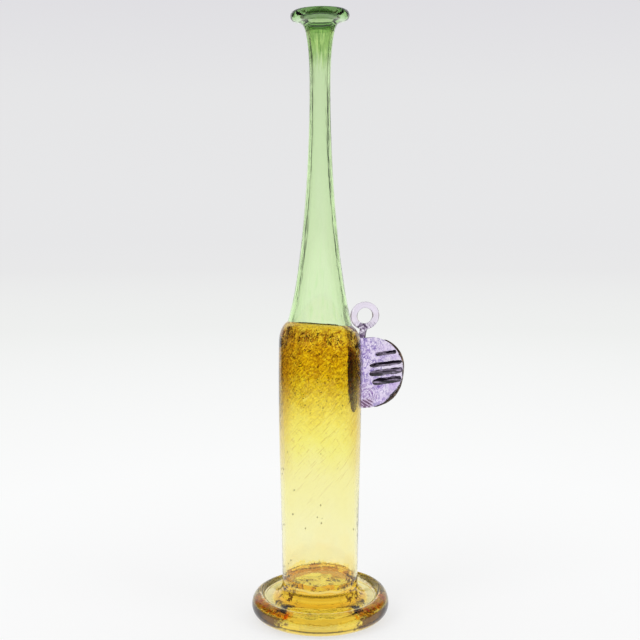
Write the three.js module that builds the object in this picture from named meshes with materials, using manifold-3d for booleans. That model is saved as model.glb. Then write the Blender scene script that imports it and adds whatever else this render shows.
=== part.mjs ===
// An art glass bottle vase: a green neck and lip over an amber body on a thick amber foot,
// with a lilac medallion at its side that carries four dark canes, an edge trail and a loop.
// Millimetres, +Z up. The axis is the Z axis, the foot stands on Z = 0 and the front faces -Y.
// Every piece is fused to the next one hot, so nothing on it moves.

import * as THREE from "three";
import { mergeVertices } from "three/addons/utils/BufferGeometryUtils.js";
import Module from "manifold-3d";

const wasm = await Module();
wasm.setup();

// Clearance left between two pieces that are fused on a curved seat
const FUSED_GAP = 0.3;

// Foot: a disc of solid glass, flat below, with a thick round rim, a fine ring inside the rim's
// crest and a shallow dish that is drawn up to a collar at the body
const FOOT_RADIUS = 46;
const FOOT_HEIGHT = 16.2;
const FOOT_REST_RADIUS = 37;
const FOOT_BELLY_HEIGHT = 8.5;
const FOOT_CREST_INWARD = 5.8;
const RING_INWARD = 3.3;
const RING_HALF_WIDTH = 0.7;
const RING_DROP = 1.7;
const RING_VALLEY_DROP = 2.4;
const DISH_REACH = 3.2;
const DISH_DROP = 1.6;
const SEAT_DEPTH = 1.7;
const COLLAR_HEIGHT = 5.8;
const COLLAR_RIM = 0.8;

// Body: a blown cylinder with a thick floor, closed below and open to the neck above
const BODY_HEIGHT = 184;
const BODY_BASE_RADIUS = 25.3;
const BODY_SHOULDER_RADIUS = 27.15;
const BODY_BULGE = 1.15;
const BODY_HEEL_BEVEL = 1.5;
const BODY_WALL = 2;
const BODY_FLOOR = 10;
const BODY_FLOOR_ROUND = 6;
const SHOULDER_HEIGHT = 14;
const SHOULDER_RISE = 6.6;
const SHOULDER_REACH = 3.3;
const SHOULDER_DROP = 1.6;

// Seam: the ring on which the neck is joined to the body
const SEAM_RADIUS = 21.2;
const SEAM_WALL = 3;

// Neck: a long drawn tube, wide at the seam and narrowest near its top
const NECK_HEIGHT = 188;
const NECK_WAIST_HEIGHT = 152;
const NECK_WAIST_RADIUS = 6.75;
const NECK_TOP_RADIUS = 9.4;
const NECK_WALL = 2.2;
const FLARE_LEAN = 8.2;
const FLARE_RISE = 30;
const WAIST_HANDLE = 57;
const THROAT_HANDLE = 18;
const THROAT_LEAN = 1.8;
const THROAT_DROP = 8;

// Lip: a ring of darker glass laid round the mouth and pressed out flat
const LIP_HEIGHT = 13.5;
const LIP_RADIUS = 19;
const LIP_RIM_ROUND = 3.6;
const LIP_COLLAR_HEIGHT = 3.5;
const LIP_COLLAR_FLARE = 0.8;
const LIP_UNDERSIDE_REACH = 3.7;
const MOUTH_DISH_REACH = 2.9;
const MOUTH_THROAT_FLARE = 1.8;
const MOUTH_THROAT_DEPTH = 1.3;

// Medallion: a pressed wafer that stands out from the wall on a thick weld
const MEDALLION_AZIMUTH = 25;
const MEDALLION_BELOW_SEAM = 34.8;
const MEDALLION_OFF_WALL = 7.3;
const MEDALLION_HALF_WIDTH = 27.8;
const MEDALLION_HALF_HEIGHT = 24.3;
const MEDALLION_FLAT_TOP = 23.8;
const MEDALLION_THICKNESS = 6;
const MEDALLION_EDGE_ROUND = 2.4;
const WELD_DEPTH_IN_WALL = 6;
const WELD_HALF_DEPTH = 9;
const WELD_HALF_WIDTH = 10;
const WELD_HALF_HEIGHT = 34;
const WELD_LIFT = 0.3;

// Loop: a ring of rod drawn up from the medallion's top and closed on its own stem
const LOOP_HOLE_HALF_WIDTH = 6.1;
const LOOP_HOLE_HALF_HEIGHT = 5.1;
const LOOP_ROD_RADIUS = 2.2;
const LOOP_OVER_MEDALLION = 7.5;
const LOOP_INWARD = 1.5;
const STEM_INWARD = 3.6;
const STEM_ROOT_RADIUS = 2.7;
const STEM_TOP_RADIUS = 2.4;

// Canes on the medallion's face: ends and middle height from its centre, and width
const CANE_RISE = 1.1;
const CANE_TILT = 3;
const CANES = [
  { from: 5, to: 21, height: 12.9, width: 2.1 },
  { from: 0.6, to: 25.4, height: 5.6, width: 2.6 },
  { from: 0.4, to: 26, height: 0, width: 4 },
  { from: 2.7, to: 25, height: -5.9, width: 4.4 },
];

// Edge trail: a dark thread round the medallion's rim, thick at its ends and thin between
const TRAIL_FROM = 61;
const TRAIL_TO = -78;
const TRAIL_TOP_RADIUS = 1.2;
const TRAIL_MIDDLE_RADIUS = 0.7;
const TRAIL_BOTTOM_RADIUS = 1.5;
const TRAIL_OFF_RIM = 0.4;

// Faces round the axis, and steps along a curve
const FOOT_SIDES = 48;
const BODY_SIDES = 44;
const NECK_SIDES = 36;
const WALL_STEPS = 7;
const EDGE_STEPS = 4;
const ROD_SIDES = 12;
const THREAD_SIDES = 8;

// Colours and finish of the glasses
const AMBER = { color: 0xd9a51e, roughness: 0.06 };
const DEEP_AMBER = { color: 0xc98a17, roughness: 0.05 };
const GREEN = { color: 0xa9dc8c, roughness: 0.05 };
const DARK_GREEN = { color: 0x4f9a4a, roughness: 0.05 };
const LILAC = { color: 0xc6b2ea, roughness: 0.1 };
const PALE_LILAC = { color: 0xe0d6ee, roughness: 0.06 };
const AUBERGINE = { color: 0x2a1830, roughness: 0.15 };
const SMOKE_BROWN = { color: 0x4a3834, roughness: 0.15 };

const { degToRad, lerp, mapLinear } = THREE.MathUtils;

// A profile of (radius, height) points turned round the Z axis
function revolve(profile, sides) {
  return new THREE.LatheGeometry(profile, sides).rotateX(Math.PI / 2);
}

// A closed geometry as a solid that can be joined and cut
function solidOf(geometry) {
  const bare = geometry.clone();
  bare.deleteAttribute("normal");
  bare.deleteAttribute("uv");
  const merged = mergeVertices(bare);
  const triVerts = new Uint32Array(merged.index.array);
  const vertProperties = merged.attributes.position.array;
  return new wasm.Manifold(new wasm.Mesh({ numProp: 3, vertProperties, triVerts }));
}

// A solid as a geometry that a mesh can show
function geometryOf(solid) {
  const { vertProperties, triVerts } = solid.getMesh();
  const geometry = new THREE.BufferGeometry();
  geometry.setAttribute("position", new THREE.BufferAttribute(vertProperties, 3));
  geometry.setIndex(new THREE.BufferAttribute(triVerts, 1));
  return geometry.toNonIndexed();
}

function glassMesh(name, geometry, glass) {
  geometry.computeVertexNormals();
  const material = new THREE.MeshStandardMaterial({ ...glass, metalness: 0 });
  const mesh = new THREE.Mesh(geometry, material);
  mesh.name = name;
  return mesh;
}

// The same wall grown outwards, or drawn inwards by a thickness that depends on the height
const moveWall = (wall, stepAt) =>
  wall.map((point) => new THREE.Vector2(point.x + stepAt(point.y), point.y));

// The wall's radius at a height, between its nearest points
function radiusAt(wall, height) {
  const above = Math.max(1, wall.findIndex((point) => point.y >= height));
  const [low, high] = [wall[above - 1], wall[above]];
  return mapLinear(height, low.y, high.y, low.x, high.x);
}

// A round rod swept along a curve, its radius given by how far along it is
function rodAlong(curve, radiusAlong, sides, steps) {
  const rod = new THREE.CylinderGeometry(1, 1, 1, sides, steps);
  const frames = curve.computeFrenetFrames(steps, false);
  const corners = rod.attributes.position;
  for (let corner = 0; corner < corners.count; corner++) {
    const step = Math.round((corners.getY(corner) + 0.5) * steps);
    const radius = radiusAlong(step / steps);
    const point = curve.getPointAt(step / steps);
    point.addScaledVector(frames.binormals[step], corners.getX(corner) * radius);
    point.addScaledVector(frames.normals[step], corners.getZ(corner) * radius);
    corners.setXYZ(corner, point.x, point.y, point.z);
  }
  return rod;
}

// Body wall, outside, from its heel to the seam
function bodyWall() {
  const flankTop = BODY_HEIGHT - SHOULDER_HEIGHT;
  const wall = new THREE.Path();
  wall.moveTo(BODY_BASE_RADIUS - BODY_HEEL_BEVEL, 0);
  wall.lineTo(BODY_BASE_RADIUS, BODY_HEEL_BEVEL);
  wall.bezierCurveTo(
    BODY_BASE_RADIUS,
    lerp(BODY_HEEL_BEVEL, flankTop, 1 / 3),
    BODY_SHOULDER_RADIUS + BODY_BULGE,
    lerp(BODY_HEEL_BEVEL, flankTop, 2 / 3),
    BODY_SHOULDER_RADIUS,
    flankTop,
  );
  wall.bezierCurveTo(
    BODY_SHOULDER_RADIUS,
    flankTop + SHOULDER_RISE,
    SEAM_RADIUS + SHOULDER_REACH,
    BODY_HEIGHT - SHOULDER_DROP,
    SEAM_RADIUS,
    BODY_HEIGHT,
  );
  return wall.getPoints(WALL_STEPS);
}

// Neck wall, outside, from the seam to where the lip is laid on
function neckWall() {
  const wall = new THREE.Path();
  wall.moveTo(SEAM_RADIUS, 0);
  wall.bezierCurveTo(
    SEAM_RADIUS - FLARE_LEAN,
    FLARE_RISE,
    NECK_WAIST_RADIUS,
    NECK_WAIST_HEIGHT - WAIST_HANDLE,
    NECK_WAIST_RADIUS,
    NECK_WAIST_HEIGHT,
  );
  wall.bezierCurveTo(
    NECK_WAIST_RADIUS,
    NECK_WAIST_HEIGHT + THROAT_HANDLE,
    NECK_TOP_RADIUS - THROAT_LEAN,
    NECK_HEIGHT - THROAT_DROP,
    NECK_TOP_RADIUS,
    NECK_HEIGHT,
  );
  return wall.getPoints(WALL_STEPS);
}

const BODY_OUTSIDE = bodyWall();
const NECK_OUTSIDE = neckWall();
const seatHeight = FOOT_HEIGHT - SEAT_DEPTH;
const seamHeight = seatHeight + BODY_HEIGHT;

// Body and neck filled and grown by the clearance, for cutting what is fused to their walls
function vesselCutter() {
  const grow = () => FUSED_GAP;
  const body = moveWall(BODY_OUTSIDE, grow).map((point) => point.setY(point.y + seatHeight));
  const neck = moveWall(NECK_OUTSIDE, grow).map((point) => point.setY(point.y + seamHeight));
  const bottom = new THREE.Vector2(0, seatHeight);
  const top = new THREE.Vector2(0, seamHeight + NECK_HEIGHT);
  return solidOf(revolve([bottom, ...body, ...neck.slice(1), top], BODY_SIDES));
}

function foot() {
  const collarTop = FOOT_HEIGHT + COLLAR_HEIGHT;
  const seatRadius = radiusAt(BODY_OUTSIDE, SEAT_DEPTH + COLLAR_HEIGHT) + FUSED_GAP;
  const collarRadius = seatRadius + COLLAR_RIM;
  const edge = FOOT_RADIUS - FOOT_REST_RADIUS;
  const crest = FOOT_RADIUS - FOOT_CREST_INWARD;
  const upper = FOOT_HEIGHT - FOOT_BELLY_HEIGHT;
  const ring = crest - RING_INWARD;
  const valley = FOOT_HEIGHT - RING_VALLEY_DROP;
  const bead = 2 * (FOOT_HEIGHT - RING_DROP) - valley;
  const dish = FOOT_HEIGHT - DISH_DROP;
  const quarter = Math.PI / 2;
  const profile = new THREE.Path();
  profile.moveTo(0, 0);
  profile.lineTo(FOOT_REST_RADIUS, 0);
  profile.absellipse(
    FOOT_REST_RADIUS, FOOT_BELLY_HEIGHT, edge, FOOT_BELLY_HEIGHT, -quarter, 0, false,
  );
  profile.absellipse(crest, FOOT_BELLY_HEIGHT, FOOT_CREST_INWARD, upper, 0, quarter, false);
  profile.quadraticCurveTo(
    ring + 2 * RING_HALF_WIDTH, FOOT_HEIGHT, ring + RING_HALF_WIDTH, valley,
  );
  profile.quadraticCurveTo(ring, bead, ring - RING_HALF_WIDTH, valley);
  profile.bezierCurveTo(
    ring - DISH_REACH, dish, collarRadius, dish, collarRadius, collarTop,
  );
  profile.lineTo(seatRadius, collarTop);
  profile.lineTo(seatRadius, seatHeight);
  profile.lineTo(0, seatHeight);
  return glassMesh("foot", revolve(profile.getPoints(EDGE_STEPS), FOOT_SIDES), DEEP_AMBER);
}

// The cavity's floor is flat in the middle and rounds up into the wall
function body() {
  const wallAt = (height) => mapLinear(height, 0, BODY_HEIGHT, BODY_WALL, SEAM_WALL);
  const roundTop = BODY_FLOOR + BODY_FLOOR_ROUND;
  const inside = moveWall(BODY_OUTSIDE, (height) => -wallAt(height));
  const cavityRadius = radiusAt(inside, roundTop);
  const cavity = new THREE.Path();
  cavity.moveTo(0, BODY_FLOOR);
  cavity.lineTo(cavityRadius - BODY_FLOOR_ROUND, BODY_FLOOR);
  cavity.quadraticCurveTo(cavityRadius, BODY_FLOOR, cavityRadius, roundTop);
  const upWall = inside.filter((point) => point.y > roundTop + BODY_HEEL_BEVEL);
  const inner = [...cavity.getPoints(EDGE_STEPS), ...upWall];
  const profile = [new THREE.Vector2(0, 0), ...BODY_OUTSIDE, ...inner.reverse()];
  const mesh = glassMesh("body", revolve(profile, BODY_SIDES), AMBER);
  mesh.position.z = seatHeight;
  return mesh;
}

function neck() {
  const wallAt = (height) =>
    lerp(SEAM_WALL, NECK_WALL, Math.min(1, height / NECK_WAIST_HEIGHT));
  const inside = moveWall(NECK_OUTSIDE, (height) => -wallAt(height));
  const profile = [...NECK_OUTSIDE, ...inside.reverse(), NECK_OUTSIDE[0]];
  const mesh = glassMesh("neck", revolve(profile, NECK_SIDES), GREEN);
  mesh.position.z = seamHeight;
  return mesh;
}

function lip() {
  const mouthRadius = NECK_TOP_RADIUS - NECK_WALL;
  const rim = LIP_RADIUS - LIP_RIM_ROUND;
  const underside = LIP_HEIGHT - 2 * LIP_RIM_ROUND;
  const profile = new THREE.Path();
  profile.moveTo(NECK_TOP_RADIUS, 0);
  profile.bezierCurveTo(
    NECK_TOP_RADIUS + LIP_COLLAR_FLARE,
    LIP_COLLAR_HEIGHT,
    rim - LIP_UNDERSIDE_REACH,
    underside,
    rim,
    underside,
  );
  profile.absarc(rim, LIP_HEIGHT - LIP_RIM_ROUND, LIP_RIM_ROUND, -Math.PI / 2, Math.PI / 2, false);
  profile.bezierCurveTo(
    rim - MOUTH_DISH_REACH,
    LIP_HEIGHT,
    mouthRadius + MOUTH_THROAT_FLARE,
    LIP_HEIGHT - MOUTH_THROAT_DEPTH,
    mouthRadius,
    0,
  );
  profile.lineTo(NECK_TOP_RADIUS, 0);
  const mesh = glassMesh("lip", revolve(profile.getPoints(EDGE_STEPS), NECK_SIDES), DARK_GREEN);
  mesh.position.z = seamHeight + NECK_HEIGHT;
  return mesh;
}

// The side pieces share a frame: X points out from the axis through the medallion, Z is up
const medallionHeight = seamHeight - MEDALLION_BELOW_SEAM;
const wallRadius = radiusAt(BODY_OUTSIDE, medallionHeight - seatHeight);
const medallionReach = wallRadius + MEDALLION_OFF_WALL;

// The wafer alone, with its rim rounded; grow widens it all round for use as a cutter
function wafer(grow) {
  const inset = MEDALLION_EDGE_ROUND;
  const top = MEDALLION_FLAT_TOP - inset;
  const halfWidth = MEDALLION_HALF_WIDTH - inset;
  const halfHeight = MEDALLION_HALF_HEIGHT - inset;
  const topAngle = Math.asin(top / halfHeight);
  const root = -MEDALLION_OFF_WALL - WELD_DEPTH_IN_WALL;
  const rootAngle = -Math.acos((root + inset) / halfWidth);
  const outline = new THREE.Shape();
  outline.moveTo(root, top);
  outline.lineTo(halfWidth * Math.cos(topAngle), top);
  outline.absellipse(0, 0, halfWidth, halfHeight, topAngle, rootAngle, true);
  outline.lineTo(root, halfHeight * Math.sin(rootAngle));
  const flat = MEDALLION_THICKNESS - 2 * inset;
  const geometry = new THREE.ExtrudeGeometry(outline, {
    depth: flat,
    curveSegments: 20,
    bevelSize: inset + grow,
    bevelThickness: inset + grow,
    bevelSegments: 4,
  });
  geometry.rotateX(Math.PI / 2).translate(medallionReach, flat / 2, medallionHeight);
  return solidOf(geometry);
}

// The weld is a long low swelling of the same gather, which spreads on the wall
function weld(grow) {
  const swelling = new THREE.SphereGeometry(1, 28, 20).rotateX(Math.PI / 2);
  swelling.scale(WELD_HALF_DEPTH + grow, WELD_HALF_WIDTH + grow, WELD_HALF_HEIGHT + grow);
  swelling.translate(wallRadius - WELD_DEPTH_IN_WALL, 0, medallionHeight + WELD_LIFT);
  return solidOf(swelling);
}

function medallion() {
  const solid = wafer(0).add(weld(0)).subtract(vesselCutter());
  return glassMesh("medallion", geometryOf(solid), LILAC);
}

// The ring closes on its stem, and the stem spreads on the medallion's flat top
function loop() {
  const flatTop = medallionHeight + MEDALLION_FLAT_TOP;
  const halfWidth = LOOP_HOLE_HALF_WIDTH + LOOP_ROD_RADIUS;
  const halfHeight = LOOP_HOLE_HALF_HEIGHT + LOOP_ROD_RADIUS;
  const centre = new THREE.Vector3(
    medallionReach - LOOP_INWARD,
    0,
    flatTop + LOOP_OVER_MEDALLION + halfHeight,
  );
  const ring = new THREE.TorusGeometry(halfHeight, LOOP_ROD_RADIUS, ROD_SIDES, 32);
  ring.rotateX(Math.PI / 2).scale(halfWidth / halfHeight, 1, 1);
  ring.translate(centre.x, centre.y, centre.z);
  const stemFoot = new THREE.Vector3(medallionReach - STEM_INWARD, 0, flatTop);
  const stem = new THREE.QuadraticBezierCurve3(
    stemFoot,
    stemFoot.clone().setZ(flatTop + LOOP_OVER_MEDALLION / 2),
    centre.clone().setZ(centre.z - halfHeight),
  );
  const stemRadius = (way) => lerp(STEM_ROOT_RADIUS, STEM_TOP_RADIUS, Math.sqrt(way));
  const solid = solidOf(ring)
    .add(solidOf(rodAlong(stem, stemRadius, ROD_SIDES, 8)))
    .subtract(wafer(FUSED_GAP))
    .subtract(weld(FUSED_GAP))
    .subtract(vesselCutter());
  return glassMesh("loop", geometryOf(solid), PALE_LILAC);
}

// A flattened cane with round ends, laid hot across the front face
function cane({ from, to, height, width }, number) {
  const length = (to - from) / Math.cos(degToRad(CANE_TILT));
  const rod = new THREE.CapsuleGeometry(width / 2, length - width, 4, THREAD_SIDES);
  rod.rotateZ(-Math.PI / 2).rotateX(Math.PI / 2);
  rod.scale(1, (2 * (CANE_RISE + FUSED_GAP)) / width, 1).rotateY(-degToRad(CANE_TILT));
  const middle = medallionReach + (from + to) / 2;
  rod.translate(middle, -MEDALLION_THICKNESS / 2, medallionHeight + height);
  const solid = solidOf(rod).subtract(wafer(FUSED_GAP));
  return glassMesh(`cane_${number + 1}`, geometryOf(solid), AUBERGINE);
}

function edgeTrail() {
  const path = new THREE.Curve();
  path.getPoint = (way, target = new THREE.Vector3()) => {
    const angle = degToRad(lerp(TRAIL_FROM, TRAIL_TO, way));
    const across = (MEDALLION_HALF_WIDTH + TRAIL_OFF_RIM) * Math.cos(angle);
    const up = (MEDALLION_HALF_HEIGHT + TRAIL_OFF_RIM) * Math.sin(angle);
    return target.set(medallionReach + across, 0, medallionHeight + up);
  };
  const trailRadius = (way) => {
    const ends = way < 0.5 ? TRAIL_TOP_RADIUS : TRAIL_BOTTOM_RADIUS;
    return lerp(TRAIL_MIDDLE_RADIUS, ends, Math.sin(Math.PI * Math.abs(2 * way - 1)) ** 2);
  };
  const rod = solidOf(rodAlong(path, trailRadius, THREAD_SIDES, 22));
  const solid = rod.subtract(wafer(FUSED_GAP));
  return glassMesh("edge_trail", geometryOf(solid), SMOKE_BROWN);
}

const sidePieces = new THREE.Group();
sidePieces.rotation.z = degToRad(MEDALLION_AZIMUTH);
sidePieces.add(medallion(), loop(), ...CANES.map(cane), edgeTrail());

const vase = new THREE.Group();
vase.add(foot(), body(), neck(), lip(), sidePieces);

export default vase;
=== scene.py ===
import math

import bmesh
import bpy
import numpy as np
from mathutils import Matrix, Vector


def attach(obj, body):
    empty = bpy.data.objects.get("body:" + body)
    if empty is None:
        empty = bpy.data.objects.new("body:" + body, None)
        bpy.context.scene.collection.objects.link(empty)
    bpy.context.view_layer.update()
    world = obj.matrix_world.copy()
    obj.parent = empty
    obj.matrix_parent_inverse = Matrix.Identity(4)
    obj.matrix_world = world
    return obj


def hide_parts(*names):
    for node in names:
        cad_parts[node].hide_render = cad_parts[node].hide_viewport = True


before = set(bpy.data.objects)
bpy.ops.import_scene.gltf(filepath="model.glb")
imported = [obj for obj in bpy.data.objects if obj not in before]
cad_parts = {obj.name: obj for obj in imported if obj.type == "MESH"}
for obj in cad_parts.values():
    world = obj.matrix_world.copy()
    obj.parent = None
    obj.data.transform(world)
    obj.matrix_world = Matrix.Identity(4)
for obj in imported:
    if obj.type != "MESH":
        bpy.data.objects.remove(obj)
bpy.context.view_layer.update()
MM = 0.001
scene = bpy.context.scene

# Camera, floor and light
CAMERA_LOOKS_DOWN = 6.67
LAMPS_AIM = Vector((0, 0, 0.2))

camera_data = bpy.data.cameras.new("camera")
camera_data.sensor_width = 36
camera_data.lens = 62.53
camera_data.shift_y = 0.0092
camera_data.clip_end = 60
camera = bpy.data.objects.new("camera", camera_data)
scene.collection.objects.link(camera)
camera.location = (0, -0.727, 0.282)
camera.rotation_euler = (math.radians(90 - CAMERA_LOOKS_DOWN), 0, 0)
scene.camera = camera
scene.view_settings.view_transform = "Standard"


class Value:
    """What a node gives, so that sums on it can be written as sums. The sign | takes the greater of two."""

    def __init__(self, nodes, socket):
        self.nodes = nodes
        self.socket = socket

    def __add__(self, other):
        return self.nodes.maths("ADD", self, other)

    def __sub__(self, other):
        return self.nodes.maths("SUBTRACT", self, other)

    def __rsub__(self, other):
        return self.nodes.maths("SUBTRACT", other, self)

    def __mul__(self, other):
        return self.nodes.maths("MULTIPLY", self, other)

    def __or__(self, other):
        return self.nodes.maths("MAXIMUM", self, other)

    def __abs__(self):
        return self.nodes.maths("ABSOLUTE", self)


class Nodes:
    """Short way to build a node tree: add nodes, link what they give, and mix colours."""

    def __init__(self, tree):
        self.tree = tree
        self.output = None
        tree.nodes.clear()

    def add(self, kind, **inputs):
        node = self.tree.nodes.new(kind)
        for name, value in inputs.items():
            self.put(node, name.replace("_", " "), value)
        return node

    def put(self, node, name, value):
        """Links or sets an input of a node, by its name or its number."""
        if isinstance(value, Value):
            self.tree.links.new(value.socket, node.inputs[name])
        else:
            node.inputs[name].default_value = value

    def out(self, node, name=0):
        return Value(self, node.outputs[name])

    def maths(self, operation, *values):
        node = self.tree.nodes.new("ShaderNodeMath")
        node.operation = operation
        for index, value in enumerate(values):
            self.put(node, index, value)
        return self.out(node)

    def vector(self, operation, *values):
        node = self.tree.nodes.new("ShaderNodeVectorMath")
        node.operation = operation
        for index, value in enumerate(values):
            self.put(node, "Scale" if operation == "SCALE" and index else index, value)
        return self.out(node, "Value" if operation == "LENGTH" else "Vector")

    def place(self):
        """Where a point is, in metres."""
        return self.out(self.add("ShaderNodeTexCoord"), "Object")

    def parts(self, vector):
        node = self.add("ShaderNodeSeparateXYZ", Vector=vector)
        return [self.out(node, axis) for axis in "XYZ"]

    def joined(self, x=0.0, y=0.0, z=0.0):
        return self.out(self.add("ShaderNodeCombineXYZ", X=x, Y=y, Z=z))

    def rotated(self, vector, angle):
        """A vector turned about the vase's axis."""
        node = self.add("ShaderNodeVectorRotate", Vector=vector, Angle=angle)
        node.rotation_type = "Z_AXIS"
        return self.out(node)

    def outer(self):
        """1 on the vessel's outer wall and 0 on its inner wall."""
        node = self.add("ShaderNodeAttribute")
        node.attribute_name = "outer"
        return self.out(node, "Fac")

    def ramp(self, value, *stops):
        """A colour for each value; a stop is a value and its colour."""
        node = self.add("ShaderNodeValToRGB", Fac=value)
        elements = node.color_ramp.elements
        while len(elements) < len(stops):
            elements.new(0.5)
        for element, (position, colour) in zip(elements, stops):
            element.position = position
            element.color = (*colour, 1)
        return self.out(node, "Color")

    def levels(self, value, *stops):
        """A number for each value; a stop is a value and its number."""
        return self.ramp(value, *((position, grey(level)) for position, level in stops))

    def span(self, value, low, high, to_low=0.0, to_high=1.0, smooth=True):
        """Takes a value from one range to another: a soft step, or a straight line."""
        node = self.add("ShaderNodeMapRange", Value=value, From_Min=low, From_Max=high, To_Min=to_low,
                        To_Max=to_high)
        node.interpolation_type = "SMOOTHSTEP" if smooth else "LINEAR"
        return self.out(node)

    def between(self, value, low, full, still_full, high):
        """1 between the two middle numbers and 0 outside the other two."""
        return self.span(value, low, full) * self.span(value, high, still_full)

    def mix(self, share, a, b, blend="MIX"):
        node = self.tree.nodes.new("ShaderNodeMix")
        node.data_type = "RGBA"
        node.blend_type = blend
        self.put(node, 0, share)
        for index, colour in ((6, a), (7, b)):
            self.put(node, index, colour if isinstance(colour, Value) else (*colour, 1))
        return self.out(node, 2)

    def noise(self, vector, scale, detail=2.0, roughness=0.5, distortion=0.0):
        return self.out(self.add("ShaderNodeTexNoise", Vector=vector, Scale=scale, Detail=detail,
                                 Roughness=roughness, Distortion=distortion))

    def wander(self, size, vector, scale, **kind):
        """A number that wanders from -size to size, to make an edge ragged."""
        return self.span(self.noise(vector, scale, **kind), 0.3, 0.7, -size, size)

    def rays(self):
        """1 on a ray from the camera, on a mirrored one and on one that has come through glass."""
        path = self.add("ShaderNodeLightPath")
        return [self.out(path, f"Is {kind} Ray") for kind in ("Camera", "Glossy", "Transmission")]

    def layers(self, share, one, other):
        """Two shaders, mixed."""
        node = self.tree.nodes.new("ShaderNodeMixShader")
        for index, value in enumerate((share, one, other)):
            self.put(node, index, value)
        return self.out(node)

    def skin(self, shader, colour, strength, depth, height):
        """Gives a shader its colour and a fine relief, whose depth is in mm."""
        self.put(shader, "Base Color", colour)
        bump = self.add("ShaderNodeBump", Strength=strength, Distance=depth * MM, Height=height)
        self.put(shader, "Normal", self.out(bump))


def grey(level):
    return (level, level, level)


def principled(name, **inputs):
    """A new material, its nodes and its shader."""
    material = bpy.data.materials.new(name)
    material.use_nodes = True
    n = Nodes(material.node_tree)
    shader = n.add("ShaderNodeBsdfPrincipled", **inputs)
    n.output = n.add("ShaderNodeOutputMaterial", Surface=n.out(shader))
    return material, n, shader


def make_world():
    """A white studio. What glass mirrors or lets through is darker above, and dark in front of the vase and
    beside the sweep, which gives the glass its outlines."""
    world = bpy.data.worlds.new("studio")
    scene.world = world
    world.use_nodes = True
    n = Nodes(world.node_tree)
    x, y, up = n.parts(n.out(n.add("ShaderNodeTexCoord"), "Generated"))
    camera_ray, mirrored, through = n.rays()
    height = n.span(up, -1, 1, smooth=False)
    seen = n.ramp(
        height,
        (0.0, (0.8, 0.8, 0.81)), (0.5, (0.8, 0.8, 0.81)), (0.545, (0.79, 0.79, 0.8)),
        (0.585, (0.745, 0.738, 0.765)), (1.0, (0.7, 0.7, 0.72)),
    )
    glass_sees = n.ramp(
        height,
        (0.0, (0.95, 0.95, 0.96)), (0.5, (0.96, 0.96, 0.97)), (0.7, (0.92, 0.92, 0.94)),
        (0.8, (0.6, 0.6, 0.62)), (0.9, (0.25, 0.25, 0.27)), (1.0, (0.15, 0.15, 0.17)),
    )
    glass_sees = n.mix(through * n.span(up, 0.4, 0.6, 0.0, 0.75), glass_sees, grey(0.92))
    front = n.span(y, 0.15, -0.15)
    beside = n.span(abs(x), 0.87, 0.97) | n.span(abs(x), 0.58, 0.78) * mirrored
    dark = (front | beside) * n.span(up, -0.08, 0.02)
    glass_sees = n.mix(dark, glass_sees, (0.075, 0.07, 0.09))
    lit, glassy, shown = (n.out(n.add("ShaderNodeBackground", Color=colour, Strength=1.0))
                          for colour in ((0.84, 0.84, 0.85, 1), glass_sees, seen))
    light = n.layers(camera_ray, n.layers(mirrored | through, lit, glassy), shown)
    n.add("ShaderNodeOutputWorld", Surface=light)


def make_floor():
    """A white sweep, which takes the shadow near the vase and fades into the studio further off."""
    mesh = bpy.data.meshes.new("floor")
    bm = bmesh.new()
    bmesh.ops.create_circle(bm, cap_ends=True, segments=96, radius=14)
    bm.to_mesh(mesh)
    bm.free()
    floor = bpy.data.objects.new("floor", mesh)
    scene.collection.objects.link(floor)
    floor.location.z = -0.3 * MM
    material, n, matte = principled("floor", Roughness=0.7, Base_Color=(0.93, 0.93, 0.925, 1),
                                    Specular_IOR_Level=0.2)
    place = n.place()
    reach = n.vector("LENGTH", place)
    far = n.ramp(
        n.span(reach, 0.0, 6.0, smooth=False),
        (0.0, (0.975, 0.975, 0.975)), (0.07, (0.96, 0.965, 0.965)), (0.28, (0.86, 0.87, 0.86)),
        (0.6, (0.81, 0.81, 0.815)), (1.0, (0.8, 0.8, 0.81)),
    )
    camera_ray, mirrored, through = n.rays()
    by_glass = mirrored | through
    aim_x, aim_y, _ = n.parts(n.vector("NORMALIZE", place))
    front = n.span(aim_y, 0.15, -0.15) * n.span(reach, 0.7, 1.2)
    side = n.span(abs(aim_x), 0.55, 0.75) * mirrored * n.span(reach, 0.6, 1.1)
    # Seen by glass, the floor is painted darker within 45 to 60 mm of the axis, a painted shade under the
    # foot, and dark in front and at the sides, as the studio is
    under_foot_shade = n.mix(n.span(reach, 0.045, 0.06), grey(0.9), grey(0.95))
    far = n.mix(by_glass, far, n.mix(front | side, under_foot_shade, (0.13, 0.085, 0.05)))
    glow = n.out(n.add("ShaderNodeEmission", Color=far, Strength=1.0))
    away = camera_ray * n.span(reach, 0.1, 0.42, 0.64, 1.0)
    n.put(n.output, "Surface", n.layers(by_glass | away, n.out(matte), glow))
    mesh.materials.append(material)


def make_lamp(name, place, size, power):
    data = bpy.data.lights.new(name, "AREA")
    data.shape = "RECTANGLE"
    data.size = data.size_y = size
    data.energy = power
    lamp = bpy.data.objects.new(name, data)
    scene.collection.objects.link(lamp)
    lamp.location = place
    lamp.visible_glossy = False
    lamp.rotation_euler = (LAMPS_AIM - Vector(place)).to_track_quat("-Z", "Y").to_euler()


make_world()
make_floor()
make_lamp("softbox_left", (-1.5, -1.3, 1.9), 1.2, 13)
make_lamp("softbox_right", (1.7, -0.9, 1.6), 0.9, 6)

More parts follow.
